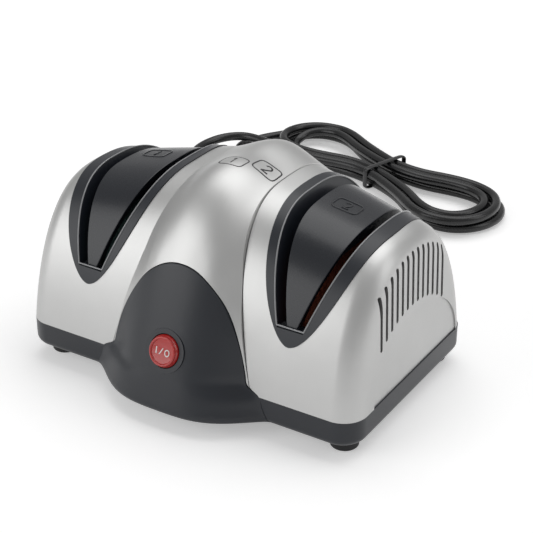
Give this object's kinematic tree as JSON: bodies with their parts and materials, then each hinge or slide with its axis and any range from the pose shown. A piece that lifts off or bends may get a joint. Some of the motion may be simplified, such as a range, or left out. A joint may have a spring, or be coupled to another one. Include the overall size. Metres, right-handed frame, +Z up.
{
  "type": "electric knife sharpener",
  "caption": "Bench-top electric knife sharpener with leaning blade slots over spring-backed grinding wheels, a centre motor, a push button and a tied mains cord.",
  "frame": {"origin": "on the floor, under the middle of the body without its cord", "axes": "+X towards the right-hand station, -Y towards the push button at the front, +Z up"},
  "size_m": [0.2891, 0.3967, 0.1233],
  "materials": {
    "silver_paint": "satin metallic paint",
    "slate_plastic": "satin",
    "guide_plastic": "semi-gloss",
    "red_button": "gloss",
    "black_plastic": "satin",
    "black_rubber": "satin",
    "steel": "satin",
    "copper": "enamelled",
    "brass": "satin",
    "carbon": "matt",
    "coarse_grit": "gritty",
    "fine_grit": "gritty",
    "board_green": "satin",
    "lead_red": "satin"
  },
  "bodies": {
    "housing": {"base_housing": "slate_plastic", "board_components": "black_plastic", "board_screws": "steel", "brush_holders": "black_plastic", "button_collar": "slate_plastic", "button_spring": "steel", "centre_cover": "silver_paint", "clamp_screws": "steel", "cord_clamp": "black_plastic", "cord_hank": "black_rubber", "cord_tail": "black_rubber", "cord_tie": "black_rubber", "cradle_screws": "steel", "housing_screws": "steel", "left_bearing_block": "black_plastic", "left_guide": "guide_plastic", "left_shell": "silver_paint", "left_surround": "slate_plastic", "left_wheel_spring": "steel", "mains_lead": "black_rubber", "motor_brushes": "carbon", "motor_bushings": "brass", "motor_can": "steel", "motor_cap_left": "black_plastic", "motor_cap_right": "black_plastic", "motor_cradle": "black_plastic", "motor_magnets": "steel", "outer_bushings": "brass", "plug_blades": "brass", "plug_body": "black_plastic", "power_cord": "black_rubber", "rectifier_board": "board_green", "right_bearing_block": "black_plastic", "right_guide": "guide_plastic", "right_shell": "silver_paint", "right_surround": "slate_plastic", "right_wheel_spring": "steel", "rubber_feet": "black_rubber", "strain_relief": "black_plastic", "switch_body": "black_plastic", "switch_leads": "lead_red", "switch_terminals": "brass"},
    "rotor": {"drive_shaft": "steel", "armature_core": "steel", "armature_windings": "copper", "commutator": "copper", "cooling_fan": "black_plastic", "shaft_clips": "steel"},
    "button": {"power_button": "red_button"},
    "left_outer_wheel": {"left_coarse_wheel_outer": "coarse_grit"},
    "left_inner_wheel": {"left_coarse_wheel_inner": "coarse_grit"},
    "right_outer_wheel": {"right_fine_wheel_outer": "fine_grit"},
    "right_inner_wheel": {"right_fine_wheel_inner": "fine_grit"}
  },
  "joints": [
    {"name": "rotor_spin", "type": "hinge", "parent": "housing", "child": "rotor", "pos_m": [0, 0.00413, 0.0575], "axis": [1, 0, 0], "continuous": true},
    {"name": "left_outer_wheel_float", "type": "slide", "parent": "rotor", "child": "left_outer_wheel", "axis": [1, 0, 0], "range_m": [0, 0.0008], "stiffness_N_per_m": 1500, "springref_m": -0.0006, "deforming": ["left_wheel_spring"]},
    {"name": "left_inner_wheel_float", "type": "slide", "parent": "rotor", "child": "left_inner_wheel", "axis": [-1, 0, 0], "range_m": [0, 0.0008], "stiffness_N_per_m": 1500, "springref_m": -0.0006},
    {"name": "right_outer_wheel_float", "type": "slide", "parent": "rotor", "child": "right_outer_wheel", "axis": [-1, 0, 0], "range_m": [0, 0.0008], "stiffness_N_per_m": 1500, "springref_m": -0.0006, "deforming": ["right_wheel_spring"]},
    {"name": "right_inner_wheel_float", "type": "slide", "parent": "rotor", "child": "right_inner_wheel", "axis": [1, 0, 0], "range_m": [0, 0.0008], "stiffness_N_per_m": 1500, "springref_m": -0.0006},
    {"name": "button_press", "type": "slide", "parent": "housing", "child": "button", "axis": [0, 0.9434, -0.3316], "range_m": [0, 0.0025], "stiffness_N_per_m": 500, "springref_m": -0.002, "deforming": ["button_spring"]}
  ]
}
